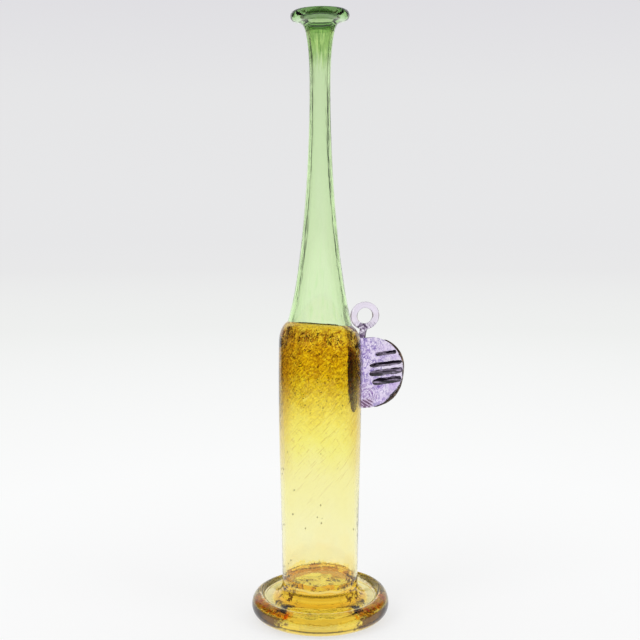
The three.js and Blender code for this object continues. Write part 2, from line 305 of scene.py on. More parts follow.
# The vessel's sizes in mm: where one gather ends and the next begins, and how the seam leans
SEAT = 14.5
BODY_HEIGHT = 184
NECK_HEIGHT = 188
SEAM = SEAT + BODY_HEIGHT
NECK_TOP = SEAM + NECK_HEIGHT
SEAM_TILT = math.tan(math.radians(4.2))
SEAM_NOD = math.tan(math.radians(5.5))
BODY_FOOT, BODY_TOP = 25.3, 27.15
FLANK_HEIGHT = 170
SEAM_RADIUS, SEAM_BORE = 21.2, 18.8
WAIST_RADIUS, WAIST_HEIGHT = 6.75, 152
MOUTH_RADIUS, MOUTH_BORE = 9.4, 7.2
FLOOR, FLOOR_RADIUS = 21.5, 16.8
UNDERSIDE_RADIUS = 37
RIM_RADIUS, RIM_MIDDLE = 46, 8.5
RIM_CREST = (40.2, 16.2)
RING_OUTSIDE, RING_INSIDE = (37.6, 13.9), (36.2, 13.9)
COLLAR_TOP = 23.5
HEEL_OUTSIDE, HEEL_INSIDE = 25.5, 28.5
SEAM_INSIDE = SEAM - 2.2
# How far the two faces of a joint swell into each other, and the radii at which the patterns are drawn
BITE = 0.12
BODY_PATTERN, NECK_PATTERN = 26, 15
SIDES = 128


def bezier(a, b, c, d, steps):
    t = np.linspace(0, 1, steps + 1)[:, None]
    a, b, c, d = (np.array(p, float) for p in (a, b, c, d))
    return (1 - t) ** 3 * a + 3 * (1 - t) ** 2 * t * b + 3 * (1 - t) * t * t * c + t ** 3 * d


def bow(centre, radii, start, end, steps):
    t = np.radians(np.linspace(start, end, steps + 1))
    return np.stack([centre[0] + radii[0] * np.cos(t), centre[1] + radii[1] * np.sin(t)], 1)


def line(a, b, steps):
    t = np.linspace(0, 1, steps + 1)[:, None]
    return np.array(a, float) * (1 - t) + np.array(b, float) * t


def joint(a, b, steps=6):
    """Where one gather meets the next inside the wall: two faces that swell into each other."""
    way = np.array(b, float) - np.array(a, float)
    aside = np.array((-way[1], way[0])) / np.linalg.norm(way)
    return line(a, b, steps) - np.outer(BITE * np.sin(np.linspace(0, math.pi, steps + 1)), aside)


def join(*runs):
    return np.concatenate([runs[0]] + [run[1:] for run in runs[1:]])


BODY_WALL = join(
    bezier((BODY_FOOT, 1.5), (BODY_FOOT, 57.67), (28.3, 113.83), (BODY_TOP, FLANK_HEIGHT), 120),
    bezier((BODY_TOP, FLANK_HEIGHT), (BODY_TOP, 176.6), (24.5, 182.4), (SEAM_RADIUS, BODY_HEIGHT), 22),
) + (0, SEAT)
NECK_WALL = join(
    bezier((SEAM_RADIUS, 0), (13, 30), (WAIST_RADIUS, 95), (WAIST_RADIUS, WAIST_HEIGHT), 110),
    bezier((WAIST_RADIUS, WAIST_HEIGHT), (WAIST_RADIUS, 170), (7.6, 180), (MOUTH_RADIUS, NECK_HEIGHT), 30),
) + (0, SEAM)


def wall_radius(z):
    return float(np.interp(z, BODY_WALL[:, 1], BODY_WALL[:, 0]))


def body_thickness(z):
    return 2 + (z - SEAT) / BODY_HEIGHT


def neck_thickness(z):
    return 3 - 0.8 * min(1, (z - SEAM) / WAIST_HEIGHT)


def inset(run, thickness):
    moved = run.copy()
    moved[:, 0] -= np.array([thickness(z) for z in run[:, 1]])
    return moved


# What the hand leaves uneven, in mm and radians. Ripples of the cavity's floor: size, turns and start. Waves
# of the inner wall: turns, slope up the wall, start and size.
LIFT_BEHIND, LIFT_REAR_RIGHT, DROP_IN_FRONT = 0.8, 1.9, 1.5
REAR_RIGHT, BULGE_REAR_RIGHT = 0.75, 1.3
SEAM_LEAN_REACH = 15
LIP_LEAN, LIP_REACH = 0.02, 19
FLOOR_RIPPLES = ((0.6, 2, 0.7), (0.4, 5, 2), (0.35, 9, 1), (0.2, 14, 0))
INNER_WAVE = 0.1
generator = np.random.default_rng(7)
WAVES = [
    (int(generator.integers(2, 9)), generator.uniform(0.02, 0.09), generator.uniform(0, 6.28),
     generator.uniform(0.3, 1))
    for _ in range(9)
]


def hand_made(radius, z, angle, inner):
    """Hand-worked glass: the seam, the lip and the foot's rim lean a little and the inner wall isn't quite
    round. The rim is lifted behind, most of all at the right, and pressed down in front."""
    if z < 18 and radius > 36:
        out = radius - RING_OUTSIDE[0]
        off_rear_right = (angle + math.pi) % (2 * math.pi) - math.pi - REAR_RIGHT
        rear_right = np.exp(-(off_rear_right / 0.75) ** 2)
        behind, front = np.clip(np.sin(angle), 0, 1), np.clip(-np.sin(angle), 0, 1)
        lift = LIFT_BEHIND * behind + LIFT_REAR_RIGHT * rear_right - DROP_IN_FRONT * front ** 2
        z = z + np.clip(out / 3, 0, 1) * lift * (z / RIM_CREST[1]) ** 1.5
        radius = radius + BULGE_REAR_RIGHT * rear_right * np.clip(out / 6, 0, 1)
        radius = np.minimum(radius, (RIM_RADIUS - 0.01) / np.maximum(np.abs(np.sin(angle)), 0.01))
    x = radius * np.cos(angle)
    y = radius * np.sin(angle)
    lean = -(SEAM_TILT * x + SEAM_NOD * y) * np.exp(-(((z - SEAM) / SEAM_LEAN_REACH) ** 2))
    if inner > 0.9 and z < 30:
        ripple = sum(size * np.sin(turns * angle + start) for size, turns, start in FLOOR_RIPPLES)
        lean = lean + np.clip(radius / 17, 0, 1) * ripple
    tip = np.clip((z - NECK_TOP + 4) / 12, 0, 1)
    lean = lean + LIP_LEAN * (x - LIP_REACH) * tip * tip * (3 - 2 * tip)
    wave = sum(size * np.sin(turns * angle + start + z * slope) for turns, slope, start, size in WAVES) / 3
    return radius + INNER_WAVE * inner * np.clip(radius / 6, 0, 1) * wave, z + lean


def on_axis(point):
    return point[0] < 1e-6


def turned(run, inner):
    """The points and the outward normals of one run of a profile, turned about the axis."""
    angles = np.arange(SIDES) * 2 * math.pi / SIDES
    grid = np.zeros((len(run), SIDES, 3))
    for row, (radius, z) in enumerate(run):
        r, h = hand_made(radius, z, angles, inner[row])
        grid[row] = np.stack([r * np.cos(angles), r * np.sin(angles), h + 0 * angles], 1)
    way = np.concatenate([[0], np.cumsum(np.linalg.norm(np.diff(run, axis=0), axis=1))])
    along = np.gradient(grid, way, axis=0)
    around = np.roll(grid, -1, 1) - np.roll(grid, 1, 1)
    normal = np.cross(around, along)
    normal /= np.maximum(np.linalg.norm(normal, axis=2, keepdims=True), 1e-12)
    for row, beside in ((0, 1), (-1, -2)):
        if on_axis(run[row]):
            normal[row] = normal[beside].mean(0)
    return grid * MM, normal


def tube_faces(start, rows, sides):
    """The sides and the two ends of a closed tube, whose rings of points begin at the point start."""
    faces = []
    for low in range(start, start + (rows - 1) * sides, sides):
        for side in range(sides):
            after = (side + 1) % sides
            faces.append([low + side, low + after, low + sides + after, low + sides + side])
    last = start + (rows - 1) * sides
    return faces + [list(range(start, start + sides))[::-1], list(range(last, last + sides))]


def make_mesh(name, verts, faces, material, flat=False):
    mesh = bpy.data.meshes.new(name)
    mesh.from_pydata([tuple(v) for v in verts], [], faces, shade_flat=flat)
    mesh.materials.append(material)
    return mesh


def closed_mesh(name, verts, faces, material):
    """A mesh whose doubled points are merged and whose faces all look outwards."""
    mesh = make_mesh(name, verts, faces, material)
    bm = bmesh.new()
    bm.from_mesh(mesh)
    bmesh.ops.remove_doubles(bm, verts=bm.verts, dist=1e-6)
    bmesh.ops.recalc_face_normals(bm, faces=bm.faces)
    bm.to_mesh(mesh)
    bm.free()
    return mesh


def add_piece(name, mesh, slot, *nodes):
    """A piece that stands in for CAD nodes, or one that is only in the looks when no node is given."""
    piece = bpy.data.objects.new(name, mesh)
    scene.collection.objects.link(piece)
    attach(piece, "root")
    if nodes:
        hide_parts(*nodes)


SEED_RINGS, SEED_SIDES = 7, 10


def seed(centre, size):
    """A small bubble in the glass, long along the wall: its faces look inwards, because the air is inside."""
    points, normals = [], []
    for ring in range(SEED_RINGS):
        tilt = math.pi * (ring + 0.5) / SEED_RINGS
        for side in range(SEED_SIDES):
            turn = 2 * math.pi * side / SEED_SIDES
            way = np.array([math.sin(tilt) * math.cos(turn), math.sin(tilt) * math.sin(turn), math.cos(tilt)])
            points.append((np.array(centre) + way * size) * MM)
            normals.append(-way)
    return points, normals


def lathe_piece(name, runs, material, node, slot, bubbles=()):
    """A closed piece turned about the axis. A run is its points and the inner wall's share at its ends, and
    keeps its own rows, so that the edge between two runs stays sharp."""
    verts, faces, normals, outer = [], [], [], []
    for run, first, last in runs:
        share = np.linspace(first, last, len(run))
        grid, normal = turned(run, share)
        rings = []
        for row, point in enumerate(run):
            start = len(verts)
            if on_axis(point):
                verts.append(grid[row].mean(0))
                normals.append(normal[row][0])
                rings.append([start] * SIDES)
            else:
                verts.extend(grid[row])
                normals.extend(normal[row])
                rings.append(list(range(start, start + SIDES)))
            outer.extend([1 - share[row]] * (len(verts) - start))
        for low, high in zip(rings, rings[1:]):
            for side in range(SIDES):
                after = (side + 1) % SIDES
                faces.append(list(dict.fromkeys([low[side], low[after], high[after], high[side]])))
    for centre, size in bubbles:
        faces.extend(tube_faces(len(verts), SEED_RINGS, SEED_SIDES))
        ball, normal = seed(centre, size)
        verts.extend(ball)
        normals.extend(normal)
        outer.extend([0] * len(ball))
    mesh = make_mesh(name, verts, faces, material)
    mesh.update()
    mesh.normals_split_custom_set_from_vertices([tuple(v) for v in normals])
    mesh.attributes.new("outer", "FLOAT", "POINT").data.foreach_set("value", outer)
    add_piece(name, mesh, slot, node)


# Glass. Places and heights in the materials are in metres.


def glass(name, absorbs=None, roughness=0.0, ior=1.5):
    """Clear glass, with a tint that grows with the way through it where absorbs is given as the share of red,
    green and blue light that is left after 10 mm."""
    material, n, shader = principled(name, Roughness=roughness, IOR=ior, Transmission_Weight=1.0)
    if absorbs:
        lost = [-math.log(share) / 0.01 for share in absorbs]
        density = max(lost)
        tint = (*(1 - each / density for each in lost), 1)
        n.put(n.output, "Volume", n.out(n.add("ShaderNodeVolumeAbsorption", Density=density, Color=tint)))
    return material, n, shader


def squiggles(n, place, period, width, shift=0.0):
    """Worm-like flecks: thin bands where a rough field crosses its middle value. The period is in mm."""
    moved = n.vector("ADD", place, (shift, shift * 0.7, shift * 1.3))
    field = n.noise(moved, 1000 / period, detail=1.0, roughness=0.4, distortion=0.9)
    return n.span(abs(field - 0.5), width * 0.6, width, 1.0, 0.0)


def stroke(n, across, up, start, end, width):
    """A drawn line between two places, in mm, across and up."""
    (start_x, start_z), (end_x, end_z) = start, end
    length = math.hypot(end_x - start_x, end_z - start_z)
    way_x, way_z = (end_x - start_x) / length, (end_z - start_z) / length
    x = across - start_x * MM
    z = up - start_z * MM
    aside = abs(x * way_z - z * way_x)
    past = abs(x * way_x + z * way_z - length * MM / 2)
    ends = n.span(past, (length / 2 + width) * MM, length / 2 * MM)
    return n.span(aside, width * MM, width * 0.4 * MM) * ends


def wall_place(n, radius, twist=0.0, stretch=1.0):
    """Where a point is on a round wall, at one radius for both faces, twisted and stretched, and its own x, y
    and z."""
    x, y, z = n.parts(n.place())
    around = n.vector("SCALE", n.vector("NORMALIZE", n.joined(x, y)), radius * MM)
    if twist:
        around = n.rotated(around, z * twist)
    return n.vector("ADD", around, n.joined(z=z * stretch)), x, y, z


def heel_marks(n, colour, outer):
    """Round the cavity's floor: an orange band at the back with a ragged upper edge, a brown arch under it,
    bright patches with dark outlines and specks, and brown squiggles low on the two sides of the wall."""
    inner = 1.0 - outer
    place = n.place()
    x, y, z = n.parts(place)
    height = z + n.wander(0.0024, place, 150, detail=4.0, roughness=0.65)
    back = n.span(y, -0.002, 0.004) * inner
    band = n.span(height, 0.0302, 0.0296) * n.span(z, 0.0218, 0.023) * back
    colour = n.mix(band, colour, (1.0, 0.8, 0.2))
    arch = n.span(height, 0.0266, 0.026) * n.span(z, 0.0215, 0.0221) * back
    colour = n.mix(arch, colour, (0.5, 0.2, 0.035))
    torn = z + n.wander(0.0022, place, 170, detail=4.0, roughness=0.7)
    floor = n.span(z, 0.0236, 0.023) | n.span(torn, 0.0262, 0.0256) * n.span(y, 0.0, -0.004)
    colour = n.mix(floor * (1.0 - arch) * inner, colour, (1.0, 0.95, 0.2))
    cell = n.noise(place, 85, detail=4.0, roughness=0.6)
    outline = n.span(abs(cell - 0.54), 0.014, 0.028, 1.0, 0.0)
    speck = n.span(n.noise(place, 300, detail=1.0), 0.66, 0.68)
    marks = (outline | speck) * (n.span(z, 0.0275, 0.025) * inner) * n.span(y, 0.014, 0.01)
    colour = n.mix(marks, colour, (0.02, 0.006, 0.002))
    beside = n.span(abs(x), 0.01, 0.019) * n.span(height, 0.038, 0.031)
    worms = squiggles(n, place, 3.2, 0.1, shift=0.11) * n.span(n.noise(place, 240), 0.44, 0.54)
    worms = worms * beside * (outer * n.span(y, 0.004, -0.004)) * n.span(z, 0.0145, 0.0165)
    return n.mix(worms, colour, (0.05, 0.015, 0.004))


def body_glass():
    material, n, shader = glass("body_glass", absorbs=(0.993, 0.955, 0.56))
    place, x, y, z = wall_place(n, BODY_PATTERN)
    outer = n.outer()
    patchy = n.noise(place, 45, detail=3.0, roughness=0.6)
    lifted = z + n.span(patchy, 0.3, 0.7, -0.007, 0.007)
    colour = n.ramp(
        n.span(lifted, 0.0, 0.2, smooth=False),
        (0.1, (1.0, 0.93, 0.6)), (0.2, (1.0, 0.95, 0.72)), (0.27, (0.99, 0.98, 0.82)),
        (0.5, (0.98, 0.96, 0.68)), (0.6, (0.98, 0.96, 0.52)), (0.7, (1.0, 0.92, 0.31)),
        (0.77, (1.0, 0.87, 0.13)), (0.84, (1.0, 0.8, 0.06)), (0.925, (1.0, 0.78, 0.07)),
        (0.955, (1.0, 0.86, 0.2)), (0.98, (1.0, 0.94, 0.45)),
    )
    # how densely the frit lies: most under the seam, less and less downwards
    dense = n.levels(n.span(lifted, 0.1, 0.21, smooth=False), (0.0, 0), (0.25, 0.03), (0.42, 0.35),
                     (0.62, 0.8), (0.8, 1), (0.905, 1), (0.945, 0.15), (1.0, 0))
    # a pale yellow band right under the seam, with little frit; its pale colour, like the paler top of the
    # colour ramp, is a painted highlight where the shoulder rounds
    leaning = z + (x * SEAM_TILT + y * SEAM_NOD) + n.wander(0.0016, place, 240, detail=3.0)
    under = n.span(leaning, (SEAM - 5.2) * MM, (SEAM - 3.0) * MM)
    dense = dense * (1.0 - under * 0.85)
    colour = n.mix(under * 0.95, colour, (1.0, 0.99, 0.74))
    # the frit's squiggles, with painted shade at the left: darker flecks there, and the outer wall darker and
    # more violet
    leant, *_ = wall_place(n, BODY_PATTERN, twist=-30.0, stretch=0.5)
    coarse = squiggles(n, leant, 1.6, 0.13) * n.span(n.noise(place, 500, detail=1.0), 0.38, 0.52)
    fine = squiggles(n, leant, 1.15, 0.1, shift=0.37) * n.span(n.noise(place, 300), 0.42, 0.56)
    frit = (coarse | fine * 0.8) * dense
    frit_colour_with_left_shade = n.mix(n.span(x, -0.012, -0.024), (0.27, 0.09, 0.01), (0.12, 0.04, 0.02))
    colour = n.mix(frit * outer, colour, frit_colour_with_left_shade)
    shade = n.span(x + n.span(patchy, 0.3, 0.7, -0.003, 0.003), -0.015, -0.023) * dense
    colour = n.mix(shade * outer, colour, (0.8, 0.58, 0.8), "MULTIPLY")
    # painted shade: the outer wall darker towards its left and right sides, from 85 mm up
    sides = n.span(abs(x), 0.017, 0.026) * n.span(z, 0.085, 0.12)
    colour = n.mix(sides * outer, colour, (0.88, 0.76, 0.62), "MULTIPLY")
    # painted highlights: grains of strong gold between the flecks
    gold_highlights = n.span(n.noise(leant, 900, detail=1.0), 0.54, 0.64) * dense
    colour = n.mix(gold_highlights * 0.6 * outer, colour, (1.0, 0.8, 0.16))
    # drawn streaks, which wind up to the right on the front
    drawn, *_ = wall_place(n, BODY_PATTERN, twist=-34.0, stretch=0.16)
    reach = n.levels(n.span(z, 0.06, 0.2, smooth=False), (0.0, 0), (0.2, 0.25), (0.45, 0.8), (0.75, 1),
                     (1.0, 0.4))
    dark = n.span(n.noise(drawn, 900), 0.6, 0.68) * reach
    pale = n.span(n.noise(drawn, 700, distortion=0.2), 0.42, 0.34) * reach
    colour = n.mix(dark * 0.75 * outer, colour, (0.5, 0.3, 0.06))
    colour = n.mix(pale * 0.75 * outer, colour, (1.0, 0.98, 0.8))
    colour = heel_marks(n, colour, outer)
    ripple = n.noise(place, 160, detail=3.0, roughness=0.6)
    grainy = n.noise(place, 900, detail=1.0)
    n.skin(shader, colour, 0.16, 0.6, ripple + grainy * dense * 0.25)
    return material


def foot_glass():
    material, n, shader = glass("foot_glass", absorbs=(0.992, 0.965, 0.79))
    place = n.place()
    x, y, z = n.parts(place)
    reach = n.vector("LENGTH", n.joined(x, y))
    turn = n.maths("ARCTAN2", x, y * -1.0)
    # painted shade round the rim's outer band: dark violet, widest at the two sides, with a pale violet tint
    # in front and pale amber behind
    ragged = abs(turn) + n.wander(0.22, place, 260, detail=4.0, roughness=0.7)
    dark = n.ramp(
        n.span(ragged, 0.0, 3.2, smooth=False),
        (0.0, (0.76, 0.78, 1.0)), (0.12, (0.72, 0.74, 1.0)), (0.18, (0.06, 0.03, 0.07)),
        (0.32, (0.048, 0.02, 0.045)), (0.5, (0.03, 0.012, 0.016)), (0.62, (0.16, 0.09, 0.1)),
        (0.75, (0.95, 0.8, 0.45)), (1.0, (1.0, 0.85, 0.45)),
    )
    wide = n.span(reach, 0.0434, 0.0448) * n.between(z, 0.0025, 0.004, 0.011, 0.0128)
    colour = n.mix(wide, (1.0, 0.985, 0.93), dark)
    # pale patches in front, where clear glass breaks through the painted shade
    torn = turn + n.wander(0.12, place, 210, detail=4.0, roughness=0.7)
    patch = n.between(torn, -0.52, -0.5, -0.3, -0.28) | n.between(torn, 0.26, 0.28, 0.54, 0.56)
    colour = n.mix(patch * wide, colour, (1.0, 1.0, 0.8))
    # orange frit over the rim's top, on the left and on the right
    edge = turn + n.wander(0.07, place, 300, detail=4.0, roughness=0.7)
    zone = n.between(edge, -1.52, -1.48, -0.48, -0.45) | n.between(edge, 0.56, 0.6, 1.54, 1.58)
    crest = n.between(reach, 0.0392, 0.0408, 0.0446, 0.0455) * zone * n.span(z, 0.01, 0.0114)
    hot = n.ramp(n.noise(place, 430, detail=3.0, roughness=0.6),
                 (0.36, (0.52, 0.11, 0.008)), (0.48, (0.92, 0.3, 0.02)), (0.62, (1.0, 0.54, 0.09)))
    colour = n.mix(crest, colour, hot)
    # the gold dish inside the ring
    dish = n.span(reach, 0.0376, 0.0372) * n.span(z, 0.012, 0.0135)
    gold = n.mix(n.span(reach, 0.0295, 0.0335), (1.0, 0.66, 0.11), (1.0, 0.9, 0.36))
    colour = heel_marks(n, n.mix(dish, colour, gold), n.outer())
    # the outer ring of the flat underside is worn matt
    n.put(shader, "Roughness", n.span(z, 0.0008, 0.0003) * n.span(reach, 0.029, 0.031, 0.04, 0.35))
    n.skin(shader, colour, 0.2, 0.8, n.noise(place, 130, detail=3.0))
    return material


def neck_glass():
    material, n, shader = glass("neck_glass", absorbs=(0.7, 0.99, 0.465))
    drawn, *_, z = wall_place(n, NECK_PATTERN, stretch=0.1)
    up = n.span(z, SEAM * MM, NECK_TOP * MM, smooth=False)
    colour = n.ramp(up, (0.0, grey(1.0)), (0.25, (0.97, 0.98, 0.95)), (0.6, (0.91, 0.95, 0.87)),
                    (1.0, (0.87, 0.92, 0.81)))
    streaks = n.span(n.noise(drawn, 700), 0.56, 0.7) * n.span(up, 0.5, 0.0, 0.3, 1.0)
    colour = n.mix(streaks * 0.35, colour, (0.8, 0.95, 0.72))
    # deeper green with vertical streaks just under the lip
    top = n.span(z + n.wander(0.006, drawn, 500), (NECK_TOP - 24) * MM, (NECK_TOP - 12) * MM)
    deeper = n.ramp(n.noise(drawn, 850, roughness=0.6), (0.38, (0.4, 0.56, 0.3)),
                    (0.5, (0.66, 0.79, 0.52)), (0.62, (0.88, 0.95, 0.66)))
    n.skin(shader, n.mix(top, colour, deeper), 0.25, 0.6, n.noise(drawn, 420))
    return material


def lip_glass():
    """Painted shade: the middle of the rim is deep green and the wall under that middle darker green, while
    the rim's ends are clear; streaks lie below the rim.
    """
    material, n, shader = glass("lip_glass", absorbs=(0.74, 0.89, 0.66))
    drawn, x, _, z = wall_place(n, NECK_PATTERN, stretch=0.35)
    rim_low, rim_high = (NECK_TOP + 7) * MM, (NECK_TOP + 9.5) * MM
    ragged = abs(x) + n.wander(0.002, drawn, 260, detail=3.0)
    # painted shade across the middle of the rim, and under it
    deep = n.span(ragged, 0.0165, 0.0125) * n.span(z, rim_low, rim_high)
    colour = n.mix(deep, (0.97, 0.99, 0.96), (0.13, 0.2, 0.1))
    low = n.span(z, rim_high, rim_low)
    colour = n.mix(low * n.span(ragged, 0.015, 0.011), colour, (0.5, 0.7, 0.34))
    streaks = n.span(n.noise(drawn, 900), 0.54, 0.64)
    colour = n.mix(streaks * low, colour, (0.45, 0.66, 0.28))
    n.skin(shader, colour, 0.35, 0.8, n.noise(drawn, 300))
    return material


# Foot, body, neck and lip


def cut(run, low, high):
    """The part of a wall between two heights, with its own end points there."""
    within = run[(run[:, 1] > low + 0.05) & (run[:, 1] < high - 0.05)]
    ends = [(float(np.interp(z, run[:, 1], run[:, 0])), z) for z in (low, high)]
    return np.concatenate([[ends[0]], within, [ends[1]]])


collar = cut(BODY_WALL, COLLAR_TOP, HEEL_OUTSIDE)
collar_radius = collar[0][0]
outer_wall = cut(BODY_WALL, HEEL_OUTSIDE, SEAM)
inner_flank = cut(inset(BODY_WALL, body_thickness), HEEL_INSIDE, SEAT + 163)
seam_outside, seam_inside = (SEAM_RADIUS, SEAM), (SEAM_BORE, SEAM_INSIDE)
inner_shoulder = bezier(inner_flank[-1], (inner_flank[-1][0], 186), (21.0, 187.5), seam_inside, 24)
inner_wall = join(inner_flank, inner_shoulder)
heel_outside, heel_inside = outer_wall[0], inner_wall[0]
mouth_outside, mouth_inside = (MOUTH_RADIUS, NECK_TOP), (MOUTH_BORE, NECK_TOP)
foot_runs = [
    (join(
        line((0, 0), (UNDERSIDE_RADIUS, 0), 14),
        bow((UNDERSIDE_RADIUS, RIM_MIDDLE), (RIM_RADIUS - UNDERSIDE_RADIUS, RIM_MIDDLE), -90, 0, 20),
        bezier((RIM_RADIUS, RIM_MIDDLE), (RIM_RADIUS, 12.8), (43.5, RIM_CREST[1]), RIM_CREST, 16),
        bezier(RIM_CREST, (39.0, RIM_CREST[1]), (38.2, 15.3), RING_OUTSIDE, 8),
        bezier(RING_OUTSIDE, (37.2, 14.7), (36.6, 14.7), RING_INSIDE, 7),
        bezier(RING_INSIDE, (33.6, 14.3), (collar_radius + 0.9, SEAT), (collar_radius, COLLAR_TOP), 20),
        collar,
    ), 0, 0),
    (joint(heel_outside, heel_inside), 0, 1),
    (join(
        bezier(heel_inside, (heel_inside[0], FLOOR + 2.2), (20.8, FLOOR), (FLOOR_RADIUS, FLOOR), 12),
        line((FLOOR_RADIUS, FLOOR), (0, FLOOR), 8),
    ), 1, 1),
]
body_runs = [
    (joint(heel_inside, heel_outside), 1, 0),
    (outer_wall, 0, 0),
    (joint(seam_outside, seam_inside), 0, 1),
    (inner_wall[::-1], 1, 1),
]
neck_runs = [
    (joint(seam_inside, seam_outside), 1, 0),
    (NECK_WALL, 0, 0),
    (joint(mouth_outside, mouth_inside), 0, 1),
    (np.concatenate([inset(NECK_WALL, neck_thickness)[::-1], [seam_inside]]), 1, 1),
]
lip_runs = [
    (joint(mouth_inside, mouth_outside), 1, 0),
    (join(
        bezier((MOUTH_RADIUS, 0), (10.2, 3.5), (11.7, 6.3), (15.4, 6.3), 12),
        bow((15.4, 9.9), (3.6, 3.6), -90, 90, 20),
        bezier((15.4, 13.5), (12.5, 13.5), (9.0, 12.2), (MOUTH_BORE, 0), 20),
    ) + (0, NECK_TOP), 0, 1),
]
# Seeds: azimuth from the front in degrees, height and size in mm
SEEDS = (
    (4, 147, 0.42), (33, 148, 0.5), (-65, 142, 0.5), (-82, 147, 0.4), (-83, 135, 0.45), (-53, 116, 0.4),
    (1, 117, 0.3), (-73, 103, 0.5), (-66, 103, 0.45), (-76, 99, 0.4), (1, 83, 0.5), (-44, 75, 0.55),
    (-4, 75, 0.4), (2, 71, 0.5), (-71, 65, 0.5), (-22, 67, 0.45), (61, 63, 0.5), (-50, 43, 0.5),
    (-57, 40, 0.4), (-1, 45, 0.4), (112, 130, 0.5), (150, 96, 0.5), (176, 60, 0.4), (205, 140, 0.45),
    (230, 82, 0.5), (95, 52, 0.4), (140, 158, 0.4),
)


def in_wall(azimuth, z, size):
    turn = math.radians(azimuth - 90)
    radius = wall_radius(z) - body_thickness(z) / 2
    return (radius * math.cos(turn), radius * math.sin(turn), z), (size, size, size * 1.3)


lathe_piece("foot_glass", foot_runs, foot_glass(), "foot", "foot_amber")
lathe_piece("body_glass", body_runs, body_glass(), "body", "body_amber", [in_wall(*each) for each in SEEDS])
lathe_piece("neck_glass", neck_runs, neck_glass(), "neck", "neck_green")
lathe_piece("lip_glass", lip_runs, lip_glass(), "lip", "lip_green")

# Chips in the foot. A zone is its azimuths from the front in degrees, its radii, heights, sizes and count.
CHIP_ZONES = (
    ((-84, -26), (38.6, 42.0), (8.5, 12.5), (1.2, 2.6), 60),
    ((34, 88), (38.6, 42.0), (8.5, 12.5), (1.2, 2.6), 56),
    ((100, 150), (38.5, 42), (9.0, 13.0), (1.0, 2.0), 24),
)


def chip_glass():
    """Coloured glass wholly inside clear glass: light isn't bent where the two meet, only tinted."""
    material, n, shader = glass("orange_chips", ior=1.01)
    tone = n.noise(n.place(), 330, detail=3.0, roughness=0.65)
    n.put(shader, "Base Color", n.ramp(tone, (0.36, (1.0, 0.6, 0.16)), (0.52, (1.0, 0.74, 0.24)),
                                       (0.66, (1.0, 0.88, 0.45))))
    return material


def orange_chips(random):
    """Broken chips of coloured glass inside the foot."""
    verts, faces = [], []
    ball = bmesh.new()
    bmesh.ops.create_icosphere(ball, subdivisions=1, radius=1)
    corners = np.array([corner.co[:] for corner in ball.verts])
    sides = [[corner.index for corner in face.verts] for face in ball.faces]
    ball.free()
    for azimuths, radii, heights, sizes, count in CHIP_ZONES:
        for _ in range(count):
            turn = math.radians(random.uniform(*azimuths) - 90)
            radius, z = random.uniform(*radii), random.uniform(*heights)
            size = random.uniform(*sizes) * random.uniform(0.5, 1)
            shape = corners * random.uniform(0.65, 1.25, (len(corners), 1))
            shape = shape * (1, random.uniform(0.5, 1), 0.35)
            spin = Matrix.Rotation(random.uniform(0, 6.28), 3, "Z")
            tilt = Matrix.Rotation(random.normal(0.5, 0.3), 3, "X")
            centre = (radius * math.cos(turn), radius * math.sin(turn), z)
            faces.extend([[len(verts) + corner for corner in side] for side in sides])
            verts.extend((shape @ np.array(spin @ tilt) * size + centre) * MM)
    add_piece("orange_chips", make_mesh("orange_chips", verts, faces, chip_glass(), flat=True), "foot_amber")


orange_chips(np.random.default_rng(31))


# Frit laid in the wall, in mm
FRIT_COUNT = 640
FRIT_TOP = SEAM - 5.5
FRIT_SPREAD = 50


def frit_glass():
    material, n, shader = principled("frit_glass", Roughness=0.6, IOR=1.5, Specular_IOR_Level=0.1)
    n.put(shader, "Base Color", n.ramp(n.noise(n.place(), 260), (0.35, (0.05, 0.014, 0.004)),
                                       (0.55, (0.22, 0.07, 0.006)), (0.72, (0.45, 0.17, 0.01))))
    return material


def frit_slivers(random, steps=5, sides=5):
    """Short bent chips of darker glass inside the wall: crowded at the shoulder, scarce further down."""
    verts, faces = [], []
    for _ in range(FRIT_COUNT):
        faces.extend(tube_faces(len(verts), steps + 1, sides))
        drop = random.uniform() ** 1.45
        z = FRIT_TOP - FRIT_SPREAD * drop
        turn = random.uniform(0, 2 * math.pi)
        deep = random.uniform(0.25, 1.5)
        length = random.uniform(0.9, 2.6) * (1 - 0.35 * drop)
        width = random.uniform(0.14, 0.3) * (1 - 0.45 * drop)
        slant = random.uniform(0, math.pi) if random.uniform() > 2.2 * drop else random.normal(0.85, 0.25)
        bend = random.normal(0, 1.1)
        for step in range(steps + 1):
            way = step / steps - 0.5
            heading = slant + bend * way
            thick = width * math.sqrt(max(0.02, 1 - (2 * way) ** 4))
            height = z + way * length * math.sin(heading)
            middle = wall_radius(height) - deep
            for side in range(sides):
                corner = 2 * math.pi * side / sides
                aside = math.cos(corner) * thick
                radius = middle + 0.6 * thick * math.sin(corner)
                angle = turn + (way * length * math.cos(heading) - math.sin(heading) * aside) / radius
                r, h = hand_made(radius, height + math.cos(heading) * aside, angle, 0)
                verts.append((r * math.cos(angle) * MM, r * math.sin(angle) * MM, h * MM))
    add_piece("frit_slivers", make_mesh("frit_slivers", verts, faces, frit_glass()), "body_amber")


frit_slivers(np.random.default_rng(23))

# Medallion, loop, canes and trail, in mm
AZIMUTH = math.radians(25)
WALL_AT_MEDALLION = 27.38
REACH = WALL_AT_MEDALLION + 7.3
MIDDLE = SEAM - 34.8
FRONT_FACE = -3.1
HALF_WIDTH, HALF_HEIGHT = 27.8, 24.3
LOOP_MIDDLE = 202.3
OUT = np.array((math.cos(AZIMUTH), math.sin(AZIMUTH), 0))
BACK = np.array((-math.sin(AZIMUTH), math.cos(AZIMUTH), 0))
UP = np.array((0, 0, 1.0))
# Painted shade along the folds where the loop's stem spreads out: start and end of each dark line, from the
# medallion's centre
STEM_FOLD_SHADES = (((-7, 21), (1, 14)), ((-7, 17), (-1, 11.5)), ((-6.5, 19), (0, 12.5)), ((3, 20), (7, 14)),
              ((6, 21), (10.5, 14.5)), ((9, 20.5), (12, 16)))
